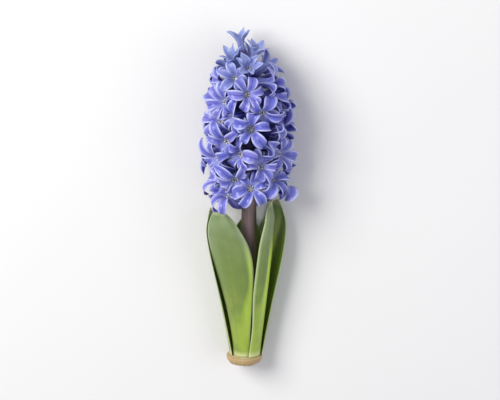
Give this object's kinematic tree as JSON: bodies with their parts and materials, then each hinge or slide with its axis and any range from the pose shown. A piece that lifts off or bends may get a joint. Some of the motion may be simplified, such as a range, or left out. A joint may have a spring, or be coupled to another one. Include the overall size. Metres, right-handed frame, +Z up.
{
  "type": "hyacinth flower",
  "caption": "Cut hyacinth lying on its side: a dense spike of star-shaped florets with curled lobes on a thick stem, with strap leaves held by a thin slice of the bulb's basal plate.",
  "frame": {"origin": "centre of the bounding box at the surface that the flower lies on", "axes": "+Y from the cut end to the tip of the spike, +Z up from the surface, +X to the right seen from above with the tip away"},
  "size_m": [0.0646, 0.2234, 0.0518],
  "materials": {
    "petal": null,
    "leaf": null,
    "stem": null,
    "basal_plate": null
  },
  "bodies": {
    "root": {"basal_plate": "basal_plate", "stem": "stem", "leaf_1": "leaf", "leaf_2": "leaf", "leaf_3": "leaf", "leaf_4": "leaf", "leaf_5": "leaf", "floret_01": "petal", "floret_02": "petal", "floret_03": "petal", "floret_04": "petal", "floret_05": "petal", "floret_06": "petal", "floret_07": "petal", "floret_08": "petal", "floret_09": "petal", "floret_10": "petal", "floret_11": "petal", "floret_12": "petal", "floret_13": "petal", "floret_14": "petal", "floret_15": "petal", "floret_16": "petal", "floret_17": "petal", "floret_18": "petal", "floret_19": "petal", "floret_20": "petal", "floret_21": "petal", "floret_22": "petal", "floret_23": "petal", "floret_24": "petal", "floret_25": "petal", "floret_26": "petal", "floret_27": "petal", "floret_28": "petal", "floret_29": "petal", "floret_30": "petal", "floret_31": "petal", "floret_32": "petal", "floret_33": "petal", "floret_34": "petal", "floret_35": "petal", "floret_36": "petal", "floret_37": "petal", "floret_38": "petal", "floret_39": "petal", "floret_40": "petal", "floret_41": "petal", "floret_42": "petal", "floret_43": "petal", "floret_44": "petal", "floret_45": "petal", "floret_46": "petal", "floret_47": "petal", "floret_48": "petal", "floret_49": "petal", "floret_50": "petal"}
  },
  "joints": []
}
